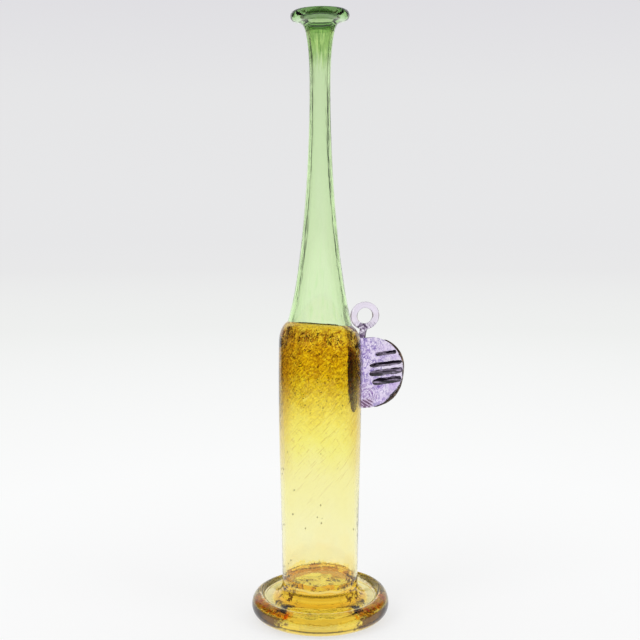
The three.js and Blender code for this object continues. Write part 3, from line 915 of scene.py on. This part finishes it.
# Painted shade, dark lines where the loop's rod folds over itself and down its stem: start, end and width,
# from its centre
LOOP_FOLD_SHADES = (((-7.4, -7.2), (-3.0, -5.6), 0.9), ((-3.6, -5.4), (-0.6, -8.0), 0.8),
              ((-7.2, -8.5), (-5.2, -13.0), 0.5), ((-5.2, -13.0), (-2.6, -18.0), 0.45),
              ((-0.8, -10.5), (-3.2, -14.5), 0.7))
# Canes: start, end, height and width, from the medallion's centre. All have one slope and one half thickness.
CANES = ((5, 21, 12.9, 2.8), (0.6, 25.4, 5.6, 3.1), (0.4, 26, 0, 4.3), (2.7, 25, -5.9, 4.7))
CANE_TILT = math.tan(math.radians(3))
CANE_HALF = 0.62
# The trail's first and last place round the medallion in degrees, how far it stands out, and its half sizes
TRAIL_START, TRAIL_END = 61, -78
TRAIL_OUT = 0.2
TRAIL_SIZE, TRAIL_SIZE_START, TRAIL_SIZE_END = 0.7, 1.5, 1.9
# The weld's dark foot: how far its middle is above the medallion's, and its half sizes
WELD_RISE = 0.9
WELD_HALF_HEIGHT, WELD_HALF_RIGHT, WELD_HALF_LEFT = 27.5, 8.2, 15


def at(across, deep, up):
    """A place: across the medallion from its centre, deep behind its middle plane and up."""
    return OUT * (REACH + across) + BACK * deep + UP * (MIDDLE + up)


def local_place(n):
    """The same three measures for a material, in metres."""
    return n.vector("SUBTRACT", n.rotated(n.place(), -AZIMUTH), (REACH * MM, 0, MIDDLE * MM))


def softened(name, node, slot, material, voxel, rounds, wavy=0.0):
    """The CAD node's form with its joins and edges melted together, as hot glass leaves them, outside the
    vessel's wall."""
    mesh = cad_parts[node].data.copy()
    draft = bpy.data.objects.new(name + "_draft", mesh)
    scene.collection.objects.link(draft)
    remesh = draft.modifiers.new("remesh", "REMESH")
    remesh.mode = "VOXEL"
    remesh.voxel_size = voxel * MM
    smooth = draft.modifiers.new("smooth", "SMOOTH")
    smooth.factor = 0.5
    smooth.iterations = rounds
    done = bpy.data.meshes.new_from_object(draft.evaluated_get(bpy.context.evaluated_depsgraph_get()))
    bpy.data.objects.remove(draft)
    done.name = name
    points = np.zeros(len(done.vertices) * 3)
    done.vertices.foreach_get("co", points)
    points = points.reshape(-1, 3) / MM
    if wavy:
        x, y, z = (points @ np.stack([OUT, BACK, UP], 1)).T
        wave = np.sin(0.45 * x + 0.3 * z) + np.sin(0.31 * z - 0.5 * x + 1.7) + np.sin(0.8 * z + 0.9 * y + 0.6)
        points += np.outer(wavy * wave * np.sign(y) * np.clip(np.abs(y) / 3, 0, 1), BACK)
    vessel = join(BODY_WALL, NECK_WALL)
    reach = np.hypot(points[:, 0], points[:, 1])
    wall = np.interp(points[:, 2], vessel[:, 1], vessel[:, 0])
    points[:, :2] *= np.maximum(1, (wall + 0.15) / np.maximum(reach, 1e-6))[:, None]
    done.vertices.foreach_set("co", (points * MM).ravel())
    done.materials.clear()
    done.materials.append(material)
    done.polygons.foreach_set("material_index", [0] * len(done.polygons))
    done.polygons.foreach_set("use_smooth", [True] * len(done.polygons))
    done.update()
    add_piece(name, done, slot, node)


def wall_side(n, clear=0.5):
    """1 on what faces the vessel's wall, where the dark underlay of the weld shows, and 0 away from it."""
    x, y, z = n.parts(n.place())
    reach = n.vector("LENGTH", n.joined(x, y))
    low, high = 130, 200
    wall = n.levels(n.span(z, low * MM, high * MM, smooth=False),
                    *(((height - low) / (high - low), wall_radius(height) / 100)
                      for height in (low, 145, 160, 175, 185, 190, 194, 197)))
    return n.span(reach - wall * 0.1, (clear + 0.5) * MM, clear * MM)


def medallion_glass():
    material, n, shader = glass("medallion_glass", absorbs=(0.87, 0.79, 0.97), roughness=0.03)
    across, deep, up = n.parts(local_place(n))
    flat = n.joined(across, deep * 0.4, up)
    cloud = n.noise(flat, 130, detail=3.0, roughness=0.6)
    colour = n.ramp(cloud, (0.3, (0.8, 0.7, 0.93)), (0.5, (0.93, 0.88, 0.98)), (0.7, (1.0, 0.99, 1.0)))
    low = n.span(up, 0.002, -0.012) * n.span(n.noise(flat, 90), 0.42, 0.6)
    colour = n.mix(low, colour, (0.8, 0.7, 0.9), "MULTIPLY")
    near_wall = n.levels(n.span(across, -0.01, 0.025, smooth=False), (0.0, 1), (0.45, 0.85), (0.75, 0.5),
                         (1.0, 0.25))
    fleck = squiggles(n, flat, 2.4, 0.1, shift=0.21) * n.span(n.noise(flat, 330, detail=1.0), 0.44, 0.56)
    colour = n.mix(fleck * near_wall, colour, (0.1, 0.045, 0.34))
    # folded swirls in the lower inner part
    off_centre = n.vector("LENGTH", n.vector("SUBTRACT", flat, (-0.0015, 0, -0.016)))
    rings = n.maths("SINE", (off_centre + n.wander(0.002, flat, 160)) * 2300)
    folded = n.span(off_centre, 0.0095, 0.008)
    colour = n.mix(folded * 0.7, colour, (0.96, 0.93, 0.99))
    colour = n.mix(n.span(rings, 0.45, 0.75) * folded * 0.9, colour, (0.2, 0.09, 0.34))
    # painted shade along the folds of the loop's stem
    for start, end in STEM_FOLD_SHADES:
        colour = n.mix(stroke(n, across, up, start, end, 0.35) * 0.55, colour, (0.3, 0.18, 0.5))
    # the striped tip at the root of the rim
    tip = n.span(up, -0.0175, -0.019) * n.span(across, 0.005, 0.002)
    stripes = n.span(n.maths("SINE", (across * 0.7 + up) * 2700), 0.0, 0.4)
    colour = n.mix(tip, colour, (0.8, 0.66, 0.8))
    colour = n.mix(tip * stripes, colour, (0.05, 0.015, 0.045))
    under = n.ramp(n.noise(n.place(), 500), (0.35, (0.01, 0.004, 0.008)), (0.6, (0.05, 0.015, 0.02)),
                   (0.75, (0.25, 0.08, 0.05)))
    colour = n.mix(wall_side(n), colour, under)
    n.skin(shader, colour, 0.35, 0.5, n.noise(flat, 240, detail=3.0) + fleck * 0.25)
    return material


def loop_glass():
    material, n, shader = glass("loop_glass", absorbs=(0.8, 0.72, 0.88), roughness=0.02)
    local = local_place(n)
    across, _, up = n.parts(local)
    swirl = n.noise(n.vector("MULTIPLY", local, (1.0, 1.0, 0.35)), 420, distortion=1.2)
    streak = n.span(abs(swirl - 0.5), 0.02, 0.05, 1.0, 0.0)
    stem = n.span(up, 0.036, 0.031)
    colour = n.mix(streak * (stem * 0.95 + 0.02), (0.95, 0.92, 0.97), (0.07, 0.03, 0.1))
    rise = np.array((0, LOOP_MIDDLE - MIDDLE))
    # painted shade along the rod's folds
    for start, end, width in LOOP_FOLD_SHADES:
        fold_shade = stroke(n, across, up, rise + start, rise + end, width)
        colour = n.mix(fold_shade * 0.9, colour, (0.05, 0.02, 0.07))
    n.skin(shader, colour, 0.3, 0.4, n.noise(local, 300))
    return material


def dark_cane(name, deep_colour, highlight_colour, along):
    """Near-black glass whose paler streaks along it are painted highlights; opaque at this thickness."""
    material, n, shader = principled(name, Roughness=0.12, IOR=1.5)
    drawn = n.vector("MULTIPLY", local_place(n), along)
    streak = n.noise(drawn, 520, detail=3.0, roughness=0.65, distortion=0.6)
    between = [0.3 * c for c in highlight_colour]
    colour = n.ramp(streak, (0.47, deep_colour), (0.56, between), (0.64, highlight_colour))
    n.skin(shader, colour, 0.5, 0.4, n.noise(drawn, 700, detail=3.0))
    return material


def uneven(random, count, size):
    """A smooth uneven run of numbers about 0, for a hand-drawn thread."""
    way = np.linspace(0, 1, count)
    return size * sum(np.sin(2 * math.pi * (turns * way + random.uniform())) / turns ** 0.6
                      for turns in (2.3, 4.1, 7.7, 12.9, 21.0)) / 2


def thread(name, node, slot, material, path, sizes, ways):
    """A rod along a path. At each step it has two half sizes, across and out, and their two directions."""
    sides = 18
    verts = []
    for place, across, out, side, lift in zip(path, *sizes, *ways):
        for corner in range(sides):
            turn = 2 * math.pi * corner / sides
            verts.append((place + side * across * math.cos(turn) + lift * out * math.sin(turn)) * MM)
    add_piece(name, closed_mesh(name, verts, tube_faces(0, len(path), sides), material), slot, node)


def cane(number, start, end, up, width, material, random):
    """A hand-drawn bar laid hot on the medallion's front face, flat below and lumpy above."""
    steps = 56
    way = np.linspace(0, 1, steps)
    ends = np.sqrt(np.clip(1 - np.abs(2 * way - 1) ** 9, 0.02, 1))
    half = width / 2 * ends * (1 + uneven(random, steps, 0.16))
    rise = CANE_HALF * ends * (1 + uneven(random, steps, 0.25))
    height = up + CANE_TILT * (end - start) * (way - 0.5) + uneven(random, steps, 0.22)
    path = [at(*each) for each in zip(start + (end - start) * way, FRONT_FACE - rise, height)]
    thread(f"cane_{number}_drawn", f"cane_{number}", "cane_aubergine", material, path, (half, rise),
           ([UP] * steps, [-BACK] * steps))


def edge_trail(material, random):
    """The thread round the medallion's rim, which thickens towards its two ends."""
    steps = 150
    way = np.linspace(0, 1, steps)
    ends = np.where(way < 0.5, TRAIL_SIZE_START, TRAIL_SIZE_END)
    size = TRAIL_SIZE + (ends - TRAIL_SIZE) * np.sin(math.pi * np.abs(2 * way - 1)) ** 2
    size = np.maximum(0.12, size * (1 + uneven(random, steps, 0.14)))
    size = size * np.clip(np.minimum(way, 1 - way) * 30, 0.1, 1) ** 0.5
    path, lift = [], []
    for angle in np.radians(TRAIL_START + (TRAIL_END - TRAIL_START) * way):
        out, up = math.cos(angle) / HALF_WIDTH, math.sin(angle) / HALF_HEIGHT
        half_width, half_height = HALF_WIDTH + TRAIL_OUT, HALF_HEIGHT + TRAIL_OUT
        path.append(at(half_width * math.cos(angle), 0, half_height * math.sin(angle)))
        lift.append((OUT * out + UP * up) / math.hypot(out, up))
    thread("edge_trail_drawn", "edge_trail", "trail_smoke", material, path, (size * 1.15, size),
           ([BACK] * steps, lift))


def underlay_glass():
    material, n, shader = principled("underlay_glass", Roughness=0.3, IOR=1.5, Specular_IOR_Level=0.1)
    *_, up = n.parts(local_place(n))
    tone = n.noise(n.vector("MULTIPLY", n.place(), (1.0, 1.0, 0.4)), 420, detail=3.0, roughness=0.6)
    lifted = tone + n.span(up, 0.004, 0.026, 0.0, 0.26)
    n.put(shader, "Base Color", n.ramp(lifted, (0.42, (0.035, 0.008, 0.012)), (0.56, (0.14, 0.022, 0.018)),
                                       (0.72, (0.6, 0.16, 0.03))))
    return material


def underlay(random):
    """The dark foot of the weld, which has bitten into the wall: a thin lens just under its surface."""
    spokes, rings = 72, 12
    edge = 1 + 0.05 * uneven(random, spokes + 1, 1.0)
    verts = []
    rows = [(ring, 0.05, 0) for ring in range(rings + 1)]
    rows += [(ring, 0.4, 0.12) for ring in range(rings, -1, -1)]
    for ring, deep, bulge in rows:
        for spoke in range(spokes):
            turn = 2 * math.pi * spoke / spokes
            share = ring / rings * edge[spoke]
            up = MIDDLE + WELD_RISE + WELD_HALF_HEIGHT * share * math.sin(turn)
            half_width = WELD_HALF_RIGHT if math.cos(turn) > 0 else WELD_HALF_LEFT
            bent = AZIMUTH + half_width * share * math.cos(turn) / wall_radius(up)
            radius, z = hand_made(wall_radius(up) - deep - bulge * (1 - share), up, bent, 0)
            verts.append((radius * math.cos(bent) * MM, radius * math.sin(bent) * MM, z * MM))
    mesh = closed_mesh("weld_underlay", verts, tube_faces(0, len(rows), spokes), underlay_glass())
    add_piece("weld_underlay", mesh, "medallion_lilac")


underlay(np.random.default_rng(5))
softened("medallion_melted", "medallion", "medallion_lilac", medallion_glass(), 0.6, 5, wavy=0.12)
softened("loop_melted", "loop", "loop_lilac", loop_glass(), 0.4, 6)
# each second colour is for the painted highlights along the canes and the trail
aubergine = dark_cane("cane_glass", (0.006, 0.003, 0.01), (0.42, 0.34, 0.5), (0.12, 1.0, 1.0))
smoke = dark_cane("trail_glass", (0.035, 0.02, 0.014), (0.34, 0.22, 0.15), (1.0, 1.0, 1.0))
hand = np.random.default_rng(11)
for number, sizes in enumerate(CANES, 1):
    cane(number, *sizes, aubergine, hand)
edge_trail(smoke, hand)
